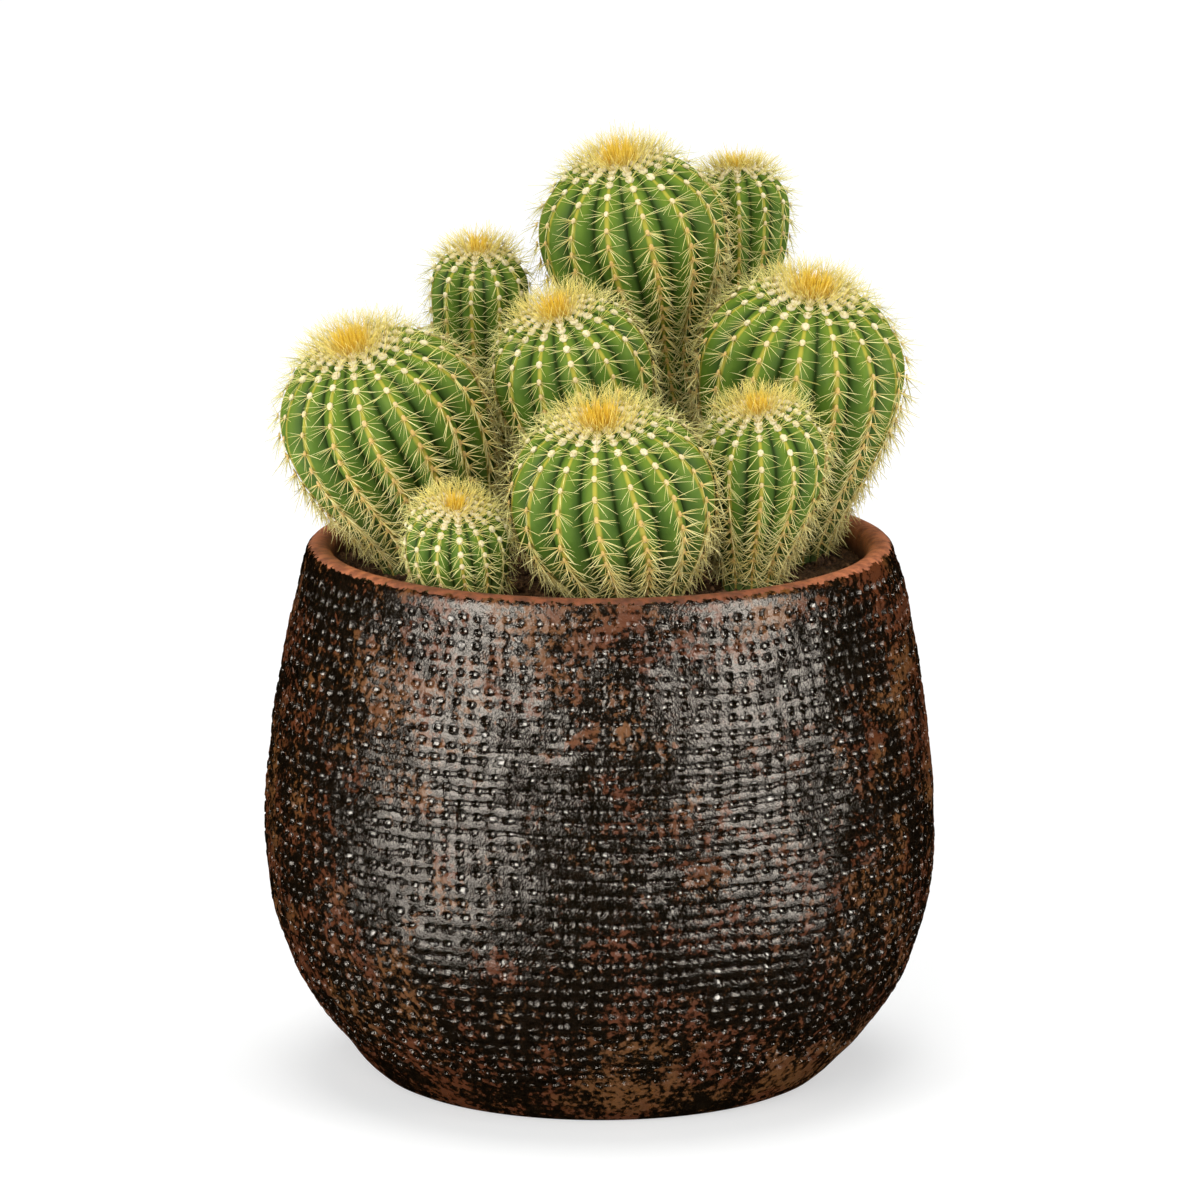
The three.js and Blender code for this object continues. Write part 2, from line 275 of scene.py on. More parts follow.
# %% The nine heads
SOIL_LEVEL = 248
HEADS = [
    # name, foot, crown, faces, radius, taper, stem, ribs, spine
    ("left", (-82, -5), (-118, -21, 361), (-0.24, -0.3), 50, 95, 19, 16, 14),
    ("back_left", (-54, 62), (-59, 60, 393), (0, -0.22), 24.5, 105, 16, 11, 12),
    ("middle", (-4, 4), (-21, -14, 376), (-0.25, -0.3), 39, 68, 18, 13, 13.5),
    ("top", (38, 58), (9, 57, 438), (-0.14, -0.22), 46, 66, 20, 14, 14),
    ("back_right", (61, 93), (67, 117, 424), (-0.06, 0.06), 25.5, 64, 14, 12, 12),
    ("right", (92, 24), (102, 6, 383), (0.14, -0.26), 51, 97, 18, 15, 14),
    ("front", (12, -72), (0, -92, 338), (-0.07, -0.29), 49.5, 68, 20, 15, 14),
    ("front_right", (72, -48), (74.5, -63, 338), (-0.14, -0.28), 31, 62, 15, 12, 13),
    ("front_left", (-65, -80), (-68, -93, 297), (0.08, -0.4), 25, 48, 14, 13, 11),
]
RIB_DEPTH = 0.17
CAP_SHARE = 0.85
CAP_FLATNESS = 2.3
TAPER_CURVE = 1.7
CROWN_SHARE = 0.2
STEM_DEPTH = 26 * MM
LARGE_RADIUS = 0.05


class Head:
    """One head in metres, with the line that it grew along."""

    def __init__(self, name, foot, crown, faces, radius, taper, stem, ribs, spine):
        self.name = name
        self.ribs = ribs
        self.radius, self.taper, self.stem, self.spine = np.array(
            (radius, taper, stem, spine)) * MM
        self.cap = CAP_SHARE * self.radius
        start = np.array((*foot, SOIL_LEVEL)) * MM
        end = np.array(crown) * MM
        facing = np.array((*faces, math.sqrt(1 - faces[0] ** 2 - faces[1] ** 2)))
        reach = np.linalg.norm(end - start)
        self.knots = (start, start + (0, 0, reach * 0.35), end - facing * reach * 0.4, end)
        self.steps = np.linspace(0, 1, 401)
        self.travelled = run_along(self.on_line(self.steps))
        self.length = self.travelled[-1]

    def on_line(self, step):
        step = np.asarray(step)[:, None]
        a, b, c, d = self.knots
        rest = 1 - step
        return rest ** 3 * a + 3 * rest ** 2 * step * b + 3 * rest * step ** 2 * c + step ** 3 * d

    def heading(self, step):
        step = np.asarray(step)[:, None]
        a, b, c, d = self.knots
        rest = 1 - step
        return unit(rest ** 2 * (b - a) + 2 * rest * step * (c - b) + step ** 2 * (d - c))


heads = [Head(*sizes) for sizes in HEADS]
print("heads:", ", ".join(f"{h.name} {h.length * 1000:.0f} mm long" for h in heads))

# %% [markdown]
# ## Bending a straight body along its growth
#
# A head leans because it grew towards the light. It is easiest to model upright, and to lay along
# its growth line afterwards. Blender's Curve modifier does that too, but turns the ribs about
# the line in its own way, so here each corner is moved onto its station.

# %% Stations along a head
def station(head, below):
    """Middle of a head and its three directions, at distances below its crown."""
    below = np.asarray(below, float)
    along = np.clip(head.length - below, 0, head.length)
    step = np.interp(along, head.travelled, head.steps)
    up = head.heading(step)
    beyond = np.minimum(0, head.length - below) + np.maximum(0, -below)
    middle = head.on_line(step) + up * beyond[:, None]
    across = unit((1, 0, 0) - up * up[:, :1])
    return middle, up, across, np.cross(up, across)


def laid_along(head, points):
    """Where points of a straight piece, with the crown at its origin, come to lie."""
    middle, _, across, away = station(head, -points[:, 2])
    return middle + across * points[:, :1] + away * points[:, 1:2]


def body_radius(head, below):
    """Radius of the crests: a flattened cap, then a taper down to the stem."""
    below = np.asarray(below, float)
    high = 1 - np.clip(below / head.cap, 0, 1)
    capped = head.radius * np.sqrt(1 - high ** CAP_FLATNESS)
    along = np.clip((below - head.cap) / head.taper, 0, 1)
    tapered = head.stem + (head.radius - head.stem) * (1 - along ** 2) ** TAPER_CURVE
    return np.where(below < head.cap, capped, tapered)


def groove_share(head, below):
    """Depth of the grooves as a share of the radius."""
    radius = body_radius(head, below)
    capped = RIB_DEPTH * smoothstep(radius / head.radius, 0.25, 0.8)
    fullness = (radius - head.stem) / (head.radius - head.stem)
    tapered = RIB_DEPTH * np.clip(3 * fullness, 0.25, 1)
    return np.where(np.asarray(below) < head.cap, capped, tapered)


print("radius of the front head in m, 20 mm down:", body_radius(heads[6], 0.02).round(4))

# %% [markdown]
# ## Skin
#
# Each head is a ball with 11 to 16 ribs: flat flanks that meet in a soft crest, and a narrow
# groove between them. It could be a sphere pushed in along lines, but its grooves would be as
# soft as its crests. Here a circle with four corners to a rib is extruded ring by ring from the
# soil to the crown, the grooves are creased, and one subdivision rounds the rest.

# %% Skin, modelled upright
CAP_ROWS = (0.02, 0.06, 0.13, 0.23, 0.36, 0.52, 0.7, 0.88)
TAPER_ROWS = (0, 0.11, 0.23, 0.36, 0.5, 0.64, 0.77, 0.89, 1)
CREST_RISE = 0.05
SHOULDER_FALL = 0.32
GROOVE_FALL = 0.92


def body_rows(head):
    """Distances below the crown of the rings, from the soil up."""
    bottom = head.length - 1 * MM
    tapered = min(head.taper, bottom - head.cap)
    rows = [share * head.cap for share in CAP_ROWS]
    rows += [head.cap + share * tapered for share in TAPER_ROWS]
    if bottom > rows[-1] + 4 * MM:
        rows += list(np.linspace(rows[-1], bottom, 2 + int((bottom - rows[-1]) / 0.012))[1:])
    return rows[::-1]


def rib_part(head, place):
    """0 on a crest, 1 on a shoulder and 2 in a groove, for a corner of the upright body."""
    ribs = math.atan2(place.y, place.x) / math.tau * head.ribs
    return round(abs(ribs - round(ribs)) * 4)


def ring_radii(head, below):
    """Radii of the crests, shoulders and grooves of a ring."""
    crest = float(body_radius(head, below))
    depth = crest * float(groove_share(head, below))
    return crest + CREST_RISE * depth, crest - SHOULDER_FALL * depth, crest - GROOVE_FALL * depth


def add_ring(head, skin, height, radii, last):
    """Extrudes the top ring to a new height, and draws its three kinds of corners in or out."""
    extrude(height - last["height"])
    for part in range(3):
        pick(skin, lambda place: abs(place.z - height) < 1e-6 and rib_part(head, place) == part)
        narrow(radii[part] / last["radii"][part])
    pick(skin, lambda place: abs(place.z - height) < 1e-6)
    return {"height": height, "radii": radii}


def model_skin(head):
    plain = head.stem * (1 - RIB_DEPTH * 0.25) - 0.2 * MM
    deep = head.length + STEM_DEPTH
    skin = start_disc(4 * head.ribs, plain, -deep)
    last = {"height": -deep, "radii": (plain,) * 3}
    for below in body_rows(head):
        last = add_ring(head, skin, -below, ring_radii(head, below), last)
    hollow = CROWN_SHARE * head.radius
    last = add_ring(head, skin, 0, (hollow + 1 * MM,) * 3, last)
    add_ring(head, skin, -3 * MM, (hollow,) * 3, last)
    crease_grooves(head, skin)
    subdivide_once(skin)
    return skin


def crease_grooves(head, skin):
    pick(skin, lambda place: rib_part(head, place) == 2 and place.z < -0.05 * head.cap)
    mesh = bmesh.from_edit_mesh(skin.data)
    for edge in mesh.edges:
        low, high = (corner.co for corner in edge.verts)
        edge.select = edge.select and abs(low.z - high.z) > 1e-6
    bmesh.update_edit_mesh(skin.data)
    bpy.ops.transform.edge_crease(value=1)


# %% Skin, noted and bent
def skin_of(head):
    skin = model_skin(head)
    upright = points_of(skin)
    ribs = np.arctan2(upright[:, 1], upright[:, 0]) / math.tau * head.ribs
    below = np.clip(-upright[:, 2], 0, head.length)
    note(skin, "crest", 1 - 2 * np.abs(ribs - np.round(ribs)))
    note(skin, "age", below / head.length)
    note(skin, "young", 1 - smoothstep(below, 0.1 * head.cap, 0.9 * head.cap))
    move_points(skin, laid_along(head, upright))
    shade(skin, 50)
    skin.name = skin.data.name = f"skin_{head.name}"
    return skin


skins = {head.name: skin_of(head) for head in heads}
print("skins:", {name: len(skin.data.polygons) for name, skin in skins.items()})

# %% [markdown]
# ## Where the areoles sit
#
# An areole is the small woolly cushion that spines grow from. Areoles sit in a row on every
# crest: crowded at the crown where the rib is young, 8 to 10 mm apart where it has stretched, and
# closer again on the old flanks. An array along a curve would space them evenly, so they are
# placed one by one.

# %% Places along the crests
CROWDED, STRETCHED, OLD = 4.4 * MM, 9.4 * MM, 7.0 * MM


def crest_line(head):
    """Distances below the crown, and along a crest from the edge of the crown down."""
    turn = np.linspace(math.asin(CROWN_SHARE), math.pi / 2, 80)
    capped = head.cap * (1 - np.cos(turn) ** (2 / CAP_FLATNESS))
    below = np.concatenate((capped, np.linspace(head.cap, head.length, 120)[1:]))
    return below, run_along(np.stack((below, body_radius(head, below)), axis=1))


def areole_runs(head, rib, end):
    """Distances along one crest at which areoles sit."""
    small = 0.55 + 0.45 * head.radius / LARGE_RADIUS
    run = (1.2 + 2.2 * (rib % 2)) * MM * small
    runs = []
    while run < end - 4 * MM:
        runs.append(run)
        stretched = CROWDED + (STRETCHED - CROWDED) * smoothstep(run, 0.004, 0.02)
        gap = stretched - (STRETCHED - OLD) * smoothstep(run, 0.045, 0.09)
        run += float(gap) * small * chance.uniform(0.92, 1.08)
    return runs


def crest_frames(head, ribs, runs):
    """Places on the crests with the ways out, towards the crown and sideways."""
    below_line, run_line = crest_line(head)

    def place(run):
        below = np.interp(run, run_line, below_line)
        angle = ribs / head.ribs * math.tau
        radius = body_radius(head, below)
        upright = np.stack((radius * np.cos(angle), radius * np.sin(angle), -below), axis=1)
        return laid_along(head, upright), below

    here, below = place(runs)
    crownward = unit(place(runs - 0.4 * MM)[0] - place(runs + 0.4 * MM)[0])
    sideways = unit(np.cross(crownward, here - station(head, below)[0]))
    return here, np.cross(sideways, crownward), crownward, sideways


def areoles_of(head):
    run_line = crest_line(head)[1]
    rows = [(rib, run) for rib in range(head.ribs)
            for run in areole_runs(head, rib, run_line[-1])]
    ribs, runs = np.array(rows).T
    here, outward, crownward, sideways = crest_frames(head, ribs, runs)
    return SimpleNamespace(runs=runs, here=here, outward=outward, crownward=crownward,
                           sideways=sideways, age=smoothstep(runs, 0.012, 0.085))


areoles = {head.name: areoles_of(head) for head in heads}
print("areoles:", {name: len(found.runs) for name, found in areoles.items()})

# %% [markdown]
# ## One cushion, one spine, many copies
#
# There are a few thousand cushions and some thirty thousand spines. Hair curves would be light,
# but can't be kept as a mesh. So one cushion and two spines are modelled with very few faces, and
# copied into one mesh for each head.

# %% Copies of a small shape in one mesh
def taken(piece):
    """Corners and faces of a small shape, which is then removed."""
    let_go()
    shape = points_of(piece), [tuple(face.vertices) for face in piece.data.polygons]
    bpy.data.objects.remove(piece)
    return shape


def copies(name, shape, places, frames, sizes, notes):
    """One mesh with a copy of shape at each place; frames are rows of x, y and z directions."""
    points, faces = shape
    count = len(points)
    moved = np.einsum("nij,njk->nik", points * sizes[:, None], frames) + places[:, None]
    mesh = bpy.data.meshes.new(name)
    mesh.from_pydata(moved.reshape(-1, 3), (), [
        [corner + first for corner in face]
        for first in range(0, len(places) * count, count) for face in faces], shade_flat=False)
    piece = bpy.data.objects.new(name, mesh)
    bpy.context.scene.collection.objects.link(piece)
    for key, values in notes.items():
        values = np.asarray(values)
        note(piece, key, values.ravel() if values.ndim == 2 else np.repeat(values, count))
    return piece


def join(name, pieces):
    """Joins pieces into the first, under a new name."""
    hold(*pieces)
    bpy.ops.object.join()
    pieces[0].name = pieces[0].data.name = name
    return pieces[0]


# %% Spines, 1 long along +Z and 1 wide
def start_cone(length, tip):
    """A three-sided cone that stands on the origin, in edit mode."""
    let_go()
    bpy.ops.mesh.primitive_cone_add(vertices=3, radius1=0.5, radius2=tip, depth=length,
                                    location=(0, 0, length / 2))
    return opened()


def model_needle():
    """A three-sided needle that thins out a little, its blunt tip a little to one side."""
    needle = start_cone(1, 0.22)
    pick(needle, lambda place: place.z > 0.9)
    shift(0.6, 0.2, 0)
    return taken(needle)


def model_bowed_spine():
    """A three-sided spine that keeps its thickness for most of its length, with a slight bow."""
    spine = start_cone(0.62, 0.34)
    pick(spine, lambda place: place.z > 0.6)
    extrude(0.38, 2.4)
    bpy.ops.mesh.merge(type="CENTER")
    pick(spine, lambda place: 0.6 < place.z < 0.65)
    shift(0.7, 0, 0)
    return taken(spine)


spine_shapes = [model_needle(), model_bowed_spine()]
print("faces of a needle and of a bowed spine:", [len(shape[1]) for shape in spine_shapes])


# %% A cushion of felt, 1 wide
def model_cushion():
    """A low dome with seven sides, sunk a little into the crest."""
    cushion = start_disc(7, 0.42, -0.15)
    for up, share in ((0.27, 1.2), (0.22, 0.64)):
        extrude(up)
        narrow(share)
    bpy.ops.mesh.poke(offset=0.09)
    return taken(cushion)


cushion_shape = model_cushion()
print("a cushion has", len(cushion_shape[1]), "faces")

# %% [markdown]
# ## Felt areoles
#
# Young areoles are plump and nearly white. Old ones have worn flat and narrow, and a row of them
# reads as a straw-coloured line. Particles of wool would be finer than the photo shows, so a
# cushion is one plain dome.

# %% Cushions on the crests
def cushions_of(head):
    found = areoles[head.name]
    count = len(found.runs)
    young = 1 - smoothstep(found.runs, 0.002, 0.045)
    small = 0.62 + 0.38 * head.radius / LARGE_RADIUS
    wide = (2.5 + 2.5 * young) * MM * small * chance.uniform(0.9, 1.1, count)
    sizes = np.stack((wide * (1 - 0.2 * found.age), wide * (1.05 + 0.6 * found.age),
                      wide * (0.8 - 0.2 * found.age)), axis=1)
    frames = np.stack((found.sideways, found.crownward, found.outward), axis=1)
    height = cushion_shape[0][:, 2]
    piece = copies(f"areoles_{head.name}", cushion_shape, found.here, frames, sizes,
                   {"age": found.age, "tone": chance.uniform(0, 1, count),
                    "along": np.tile(height / height.max(), (count, 1))})
    shade(piece, 85)
    return piece


cushions = {head.name: cushions_of(head) for head in heads}
print("cushion faces:", sum(len(piece.data.polygons) for piece in cushions.values()))

# %% [markdown]
# ## Spines
#
# From each areole four to six spines spread to each side like the bones of a fish, close to the
# skin, and a few stand out. Round the crown they are erect and pale, on the flanks they are
# fewest, and towards the soil they point down and have dried to straw. Combed hair could do
# this, but numbers give each spine its own length, lean and twist.

# %% Ways of the spines
SPINE_WIDTH = 0.3 * MM
SPINE_GROUPS = [
    # spines an areole, lift from the skin, way from the crown at the young and at the old end,
    # shares of the spine length, share of bowed ones
    (12, (5, 24), (72, 165), (86, 158), (0.6, 1.05), 0.45),
    (3, (25, 55), (90, 178), (110, 172), (0.7, 1.05), 0.7),
]


def spine_ways(found, each, lifts, young_fan, old_fan):
    """Directions of each spine of each areole, in rows of areoles."""
    count = len(found.runs)
    lift = np.radians(chance.uniform(*lifts, (count, each)))
    side = np.where(np.arange(each) % 2 == 0, 1.0, -1.0)
    rank = (np.arange(each) // 2 + 0.5) / math.ceil(each / 2)
    aged = smoothstep(found.runs, 0.012, 0.07)[:, None]
    low, high = (young + (old - young) * aged for young, old in zip(young_fan, old_fan))
    fan = np.radians(low + (high - low) * rank + chance.normal(0, 8, (count, each)))
    flat = (found.crownward[:, None] * np.cos(fan)[..., None]
            + found.sideways[:, None] * (side * np.sin(fan))[..., None])
    raised = 0.75 * (1 - smoothstep(found.runs, 0.004, 0.026))[:, None]
    lift = np.clip(lift + raised, 0, math.radians(82))
    return flat * np.cos(lift)[..., None] + found.outward[:, None] * np.sin(lift)[..., None]


def needle_frames(ways):
    """Rows of x, y and z directions: z along each way, and x turned by chance."""
    x = unit(np.cross(ways, chance.normal(size=ways.shape)))
    return np.stack((x, np.cross(ways, x), ways), axis=1)


def grow(name, groups):
    """One piece, from groups of roots, ways, lengths, chances of a bow, ages and gold."""
    grown = [np.concatenate(rows) for rows in zip(*groups)]
    tips = grown[0] + grown[1] * grown[2][:, None]
    above = tips[:, 2] > (SOIL_LEVEL + 1.5) * MM
    roots, ways, lengths, bow, age, gold = (rows[above] for rows in grown)
    widths = SPINE_WIDTH * chance.uniform(0.8, 1.2, len(roots)) * (1 + 0.7 * age ** 2)
    notes = {"age": age, "gold": gold, "tone": chance.uniform(0, 1, len(roots))}
    which = chance.uniform(size=len(roots)) < bow
    parts = []
    for index, shape in enumerate(spine_shapes):
        mask = which == bool(index)
        sizes = np.stack((widths, widths, lengths), axis=1)[mask]
        kept = {key: values[mask] for key, values in notes.items()}
        kept["along"] = np.tile(shape[0][:, 2], (int(mask.sum()), 1))
        parts.append(copies(f"{name}_{index}", shape, roots[mask], needle_frames(ways[mask]),
                            sizes, kept))
    return join(name, parts)


# %% Spines on the areoles
def spine_group(head, each, lifts, young_fan, old_fan, shares, bowed):
    """What grow needs of one group of the spines of a head."""
    found = areoles[head.name]
    young = 1 - smoothstep(found.runs, 0.004, 0.03)
    ways = spine_ways(found, each, lifts, young_fan, old_fan)
    stretched = smoothstep(found.runs, 0.008, 0.025) - smoothstep(found.runs, 0.05, 0.08)
    grown = 0.6 + 0.28 * smoothstep(found.runs, 0, 0.01) - 0.18 * stretched
    keep = chance.uniform(size=ways.shape[:2]) < grown[:, None]

    def each_gets(values):
        return np.repeat(values[:, None], each, axis=1)[keep]

    lengths = head.spine * chance.uniform(*shares, keep.sum())
    return (each_gets(found.here), ways[keep], lengths, np.full(keep.sum(), bowed),
            each_gets(found.age), each_gets(0.4 * young ** 3))


spines = {head.name: grow(f"spines_{head.name}", [spine_group(head, *group)
                                                  for group in SPINE_GROUPS]) for head in heads}
print("spine faces:", {name: len(piece.data.polygons) for name, piece in spines.items()})

# %% [markdown]
# ## Crowns
#
# The growing point is a small hollow filled with felt. The newest spines stand on it like the
# hairs of a brush, amber in the middle and paler outside, where they lean over towards the light
# in front. The felt could be a bump, but it shows from the side, so it is a disc, extruded and
# inset. The brush is the same spine again.

# %% The felt in the hollow
def model_felt(head):
    radius = CROWN_SHARE * head.radius - 0.3 * MM
    felt = start_disc(20, radius, -2.6 * MM)
    extrude(1.6 * MM)
    for share, up in ((0.2, 1.0), (0.35, 0.6)):
        bpy.ops.mesh.inset(thickness=radius * share)
        shift(0, 0, up * MM)
    subdivide_once(felt)
    move_points(felt, laid_along(head, points_of(felt)))
    for key, value in {"age": 0, "tone": 0.5, "gold": 0.25, "along": 0}.items():
        note(felt, key, np.full(len(felt.data.vertices), value))
    return felt


# %% The brush of new spines
BRUSH = [
    # share of all, from and to as shares of the crown's edge, lean at the edge, lengths
    (0.52, (0.0, 0.65), 0.2, (0.6, 0.95)),
    (0.43, (0.6, 1.1), 0.7, (0.5, 0.85)),
    (0.05, (0.2, 0.9), 0.5, (1.05, 1.4)),
]
BRUSH_SHIFT = 0.4
FEWEST, MORE_WHEN_LARGE = 150, 480


def brush_part(head, count, reach, lean, shares):
    """What grow needs of one part of the brush."""
    middle, up, across, away = (part[0] for part in station(head, np.array([0.0])))
    far = np.sqrt(chance.uniform(reach[0] ** 2, reach[1] ** 2, count))
    angle = chance.uniform(0, math.tau, count)
    outwards = np.cos(angle)[:, None] * across + np.sin(angle)[:, None] * away
    lit = np.clip(-outwards[:, 1], 0, 1)
    edge = CROWN_SHARE * head.radius
    roots = middle + outwards * (far * edge)[:, None] - up * 2.8 * MM + (0, -BRUSH_SHIFT * edge, 0)
    tilt = lean * far / reach[1] * (1 + 0.5 * lit) + chance.normal(0, 0.06, count)
    ways = unit(up + outwards * tilt[:, None] + chance.normal(0, 0.05, (count, 3)))
    gold = (1 - smoothstep(far, 0.45, 1.3)) * chance.uniform(0.8, 1, count)
    short = 1 - 0.5 * lit * smoothstep(far, 0.5, 1)
    lengths = head.spine * chance.uniform(*shares, count) * short
    return roots, ways, lengths, np.full(count, 0.5), np.zeros(count), gold


def crown_of(head):
    felt = model_felt(head)
    total = FEWEST + MORE_WHEN_LARGE * (head.radius / LARGE_RADIUS) ** 2
    brush = grow(f"brush_{head.name}", [brush_part(head, int(share * total), *rest)
                                        for share, *rest in BRUSH])
    crown = join(f"tuft_{head.name}", [felt, brush])
    shade(crown, 60)
    return crown


crowns = {head.name: crown_of(head) for head in heads}
print("crown faces:", {name: len(piece.data.polygons) for name, piece in crowns.items()})

# %% [markdown]
# ## The pot
#
# The potter turned it, pressed rows of small square pits into the damp wall with a toothed tool,
# and glazed it in part. It could be a plain wall with a bump texture, but light catches in real
# hollows. So its outline is drawn corner by corner and spun once round, with four rings and four
# columns for every pit, and the pits are pressed into that net.

# %% The outline of the pot
POT_OUTSIDE = [(107.5, 2), (115.5, 9), (126.5, 22), (139.5, 39), (150.5, 59), (159, 87),
               (161.8, 118), (160, 150), (154.5, 192), (144.8, 244), (142, 255)]
POT_INSIDE = [(128.5, 255), (129.5, 240), (143, 170), (147.5, 118), (142, 76), (126, 42), (99, 14)]
RIM_HEIGHT, RIM_RADIUS, RIM_WALL, LIP_ROUNDING = 261, 142, 13.5, 6
PITS_ROUND, PIT_PITCH, FIRST_PIT, LAST_PIT = 122, 6.7, 25.2, 253
PIT_RINGS = np.array((-2.25, -1.35, 1.35, 2.25))
PIT_COLUMNS = np.array((-0.33, -0.2, 0.2, 0.33))


def rounded_line(knots, each=24):
    """A smooth line through points, and the distance run along it."""
    knots = np.array(knots, float)
    ends = np.concatenate(([2 * knots[0] - knots[1]], knots, [2 * knots[-1] - knots[-2]]))
    parts = []
    for a, b, c, d in zip(ends, ends[1:], ends[2:], ends[3:]):
        t = np.linspace(0, 1, each, endpoint=False)[:, None]
        parts.append(b + 0.5 * t * (c - a + t * (2 * a - 5 * b + 4 * c - d
                                                 + t * (3 * (b - c) + d - a))))
    line = np.concatenate((*parts, knots[-1:]))
    return line, run_along(line)


wall, wall_run = rounded_line(POT_OUTSIDE)


def on_wall(run):
    """Radius and height on the outer wall at a distance along it, and the way out of it."""
    def place(run):
        return np.stack([np.interp(run, wall_run, line) for line in wall.T], axis=-1)

    ahead = unit(place(run + 0.5) - place(run - 0.5))
    return place(run), np.stack((ahead[..., 1], -ahead[..., 0]), axis=-1)


pit_rows = np.arange(np.interp(FIRST_PIT, wall[:, 1], wall_run),
                     np.interp(LAST_PIT, wall[:, 1], wall_run), PIT_PITCH)
pit_rings = (pit_rows[:, None] + PIT_RINGS).ravel()
foot_rings = np.linspace(0, pit_rings[0], 8)[:-1]
top_rings = np.linspace(pit_rings[-1], wall_run[-1], 4)[1:]
wall_rings = np.concatenate((foot_rings, pit_rings, top_rings))
print("pits:", PITS_ROUND, "round in", len(pit_rows), "rows, on", len(wall_rings), "rings")


# %% Spinning the pot
LIP_STEPS = 6


def lip_line():
    """The rounded lip, over the top from the outside to the inside."""
    turn = np.linspace(0, math.pi / 2, LIP_STEPS)
    low = RIM_HEIGHT - LIP_ROUNDING
    outer = RIM_RADIUS - LIP_ROUNDING
    inner = RIM_RADIUS - RIM_WALL + LIP_ROUNDING
    wide, high = LIP_ROUNDING * np.cos(turn), LIP_ROUNDING * np.sin(turn)
    over = np.stack((outer + wide, low + high), axis=1)
    down = np.stack((inner - high, low + wide), axis=1)
    return np.concatenate((over[1:], down[:-1]))


def draw_outline(points):
    """A chain of corners in the XZ plane, extruded from point to point."""
    let_go()
    bpy.ops.mesh.primitive_plane_add(size=0.01)
    outline = opened()
    bpy.ops.mesh.merge(type="CENTER")
    shift(points[0][0], 0, points[0][1])
    for (x, z), (next_x, next_z) in zip(points, points[1:]):
        bpy.ops.mesh.extrude_vertices_move(
            TRANSFORM_OT_translate={"value": (next_x - x, 0, next_z - z)})
    return outline


def spin_round(outline, steps):
    edit(outline)
    bpy.ops.mesh.spin(steps=steps, angle=math.tau, center=(0, 0, 0), axis=(0, 0, 1))
    bpy.ops.mesh.select_all(action="SELECT")
    bpy.ops.mesh.remove_doubles(threshold=1e-6)
    bpy.ops.mesh.normals_make_consistent(inside=False)
    let_go()


inside_line = rounded_line(POT_INSIDE, each=2)[0]
outline_points = np.concatenate((
    [(0, 0), (98, 0), (103.5, 0.2)], on_wall(wall_rings)[0], lip_line(), inside_line, [(0, 14)]))
pot = draw_outline(outline_points * MM)
spin_round(pot, 4 * PITS_ROUND)
pot.name = pot.data.name = "clay_pot"
print("the pot has", len(pot.data.polygons), "faces")

# %% [markdown]
# ## Pressing the pits
#
# No two pits are alike: the tool slipped, leant and dug in more or less. A stamp by boolean would
# be too slow four thousand times, so the corners are moved: each pit gets a size, a shift and a
# depth by chance, some are filled with glaze, and the rows and columns wander a little. In the
# middle of the belly the tool also dragged low grooves between the rows.

# %% Unevenness of hand-made things
def unevenness(places, size, seed):
    """Soft lumps of about that size, between -1 and 1: waves in chance directions, added up."""
    waves = np.random.default_rng(seed)
    total = np.zeros(len(places))
    for _ in range(8):
        way = waves.normal(size=3)
        way *= math.tau / np.linalg.norm(way) / (size * waves.uniform(0.7, 1.5))
        total += np.sin(places @ way + waves.uniform(0, math.tau))
    return np.clip(total / 3.2, -1, 1)


def ring_and_column(piece):
    """Which ring of the outline, and which column round the pot, each corner belongs to."""
    places = points_of(piece) / MM
    radius = np.hypot(places[:, 0], places[:, 1])
    near = np.abs(radius[:, None] - outline_points[:, 0]) + np.abs(
        places[:, 2:] - outline_points[:, 1])
    turn = np.arctan2(places[:, 1], places[:, 0]) / math.tau
    column = np.round(turn * 4 * PITS_ROUND).astype(int) % (4 * PITS_ROUND)
    return near.argmin(axis=1) - 3, column, places


# %% Pits, grooves and lumps
PIT_DEPTH, GROOVE_DEPTH = 1.3, 0.44
BOWL_SHARE, CORNER_SHARE = 0.62, 0.8
GROOVES_AT, GROOVES_REACH, BELLY_RADIUS = 160, 55, 155
GLAZE_LINE = 5.2
FAR_OUTSIDE, FAR_INSIDE = -99, 99


def pit_chances(row, pit):
    """Width, height, depth, filling and slip of the pit that each corner belongs to."""
    shape = (len(pit_rows), PITS_ROUND)
    size = chance.uniform(0.72, 1.1, shape)[row, pit]
    high = size * chance.uniform(0.85, 1.1, shape)[row, pit]
    depth = PIT_DEPTH * chance.uniform(0.45, 1.25, shape)[row, pit]
    filled = (chance.uniform(size=shape) < 0.06)[row, pit]
    return size, high, depth, filled, chance.normal(0, 0.05, (2, *shape))[:, row, pit]


